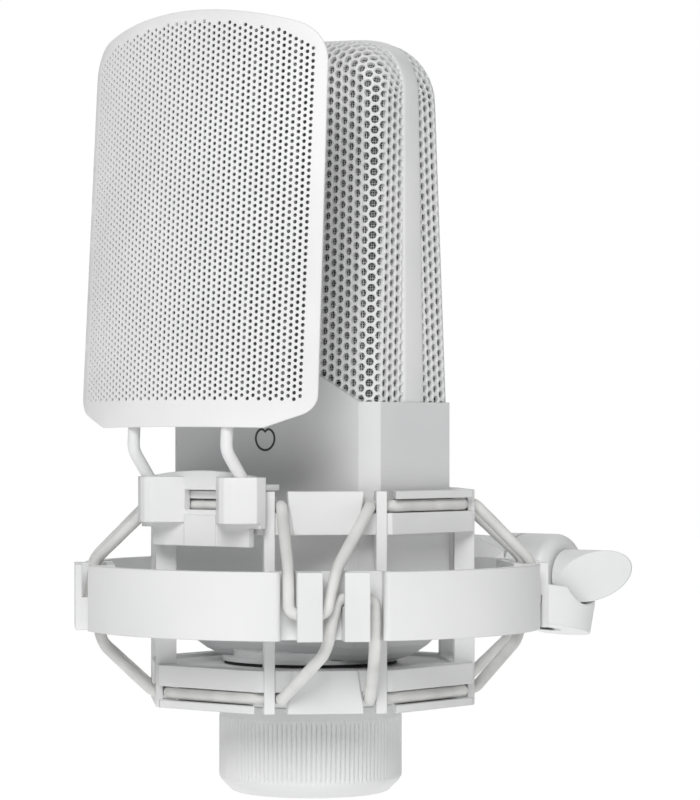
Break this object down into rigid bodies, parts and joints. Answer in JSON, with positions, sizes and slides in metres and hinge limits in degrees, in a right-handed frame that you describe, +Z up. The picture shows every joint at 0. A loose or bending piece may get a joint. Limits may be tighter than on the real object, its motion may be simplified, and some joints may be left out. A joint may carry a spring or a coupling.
{
  "type": "studio microphone in shock mount",
  "caption": "Side-address studio microphone held in a cradle that hangs on elastic cords inside a swivelling ring, with a clip-on curved metal pop filter.",
  "frame": {"origin": "centre of the mouth of the stand thread", "axes": "+Z up along the microphone's axis, -Y towards the front of the microphone, +X to the right seen from the front"},
  "size_m": [0.112, 0.168, 0.1853],
  "materials": {
    "body_white": "satin",
    "gauze_wire": "satin",
    "mount_white": "satin",
    "filter_white": "satin",
    "elastic_white": "braided",
    "black_rubber": "matte",
    "black_plastic": "matte",
    "steel": "satin",
    "brass": "satin",
    "gold_film": "polished",
    "board_green": "satin",
    "component_black": "satin"
  },
  "bodies": {
    "stand_adapter": {"stand_adapter": "mount_white", "thread_insert": "steel"},
    "shock_ring": {"outer_ring": "mount_white", "swivel_arm": "mount_white", "arm_screws": "steel", "swivel_bolt": "steel", "swivel_washers": "steel"},
    "clamp_knob": {"clamp_knob": "mount_white", "clamp_nut": "steel"},
    "microphone": {"cradle": "mount_white", "upper_elastic": "elastic_white", "lower_elastic": "elastic_white", "seat_washer": "black_rubber", "body_sleeve": "body_white", "base_cap": "body_white", "connector_shell": "steel", "connector_insert": "black_plastic", "connector_pins": "brass", "chassis_rails": "steel", "capsule_platform": "steel", "platform_screws": "steel", "circuit_board": "board_green", "board_components": "component_black", "output_transformer": "component_black", "capsule_saddle": "black_plastic", "capsule_ring": "brass", "capsule_backplate": "brass", "front_diaphragm": "gold_film", "rear_diaphragm": "gold_film", "front_grille": "body_white", "rear_grille": "body_white", "grille_frame": "body_white", "front_gauze": "gauze_wire", "rear_gauze": "gauze_wire", "grille_collar": "body_white"},
    "lock_nut": {"lock_nut": "mount_white"},
    "pop_filter": {"filter_panel": "filter_white", "filter_wires": "filter_white", "filter_clip": "mount_white"}
  },
  "joints": [
    {"name": "swivel_tilt", "type": "hinge", "parent": "stand_adapter", "child": "shock_ring", "pos_m": [0, 0.00275, 0.01413], "axis": [1, 0, 0], "range_deg": [-71, 109]},
    {"name": "knob_turn", "type": "hinge", "parent": "shock_ring", "child": "clamp_knob", "pos_m": [0, 0.00275, 0.01413], "axis": [1, 0, 0], "range_deg": [-180, 180]},
    {"name": "suspension_bounce", "type": "slide", "parent": "shock_ring", "child": "microphone", "axis": [0, 0, 1], "range_m": [-0.005, 0.005], "stiffness_N_per_m": 2000, "springref_m": 0.0036, "deforming": ["upper_elastic", "lower_elastic"]},
    {"name": "lock_nut_turn", "type": "hinge", "parent": "microphone", "child": "lock_nut", "pos_m": [0, -0.09635, -0.02306], "axis": [0, 0, 1], "range_deg": [0, 360]},
    {"name": "filter_lift", "type": "slide", "parent": "microphone", "child": "pop_filter", "axis": [0, 0, 1], "range_m": [0, 0.04]}
  ]
}
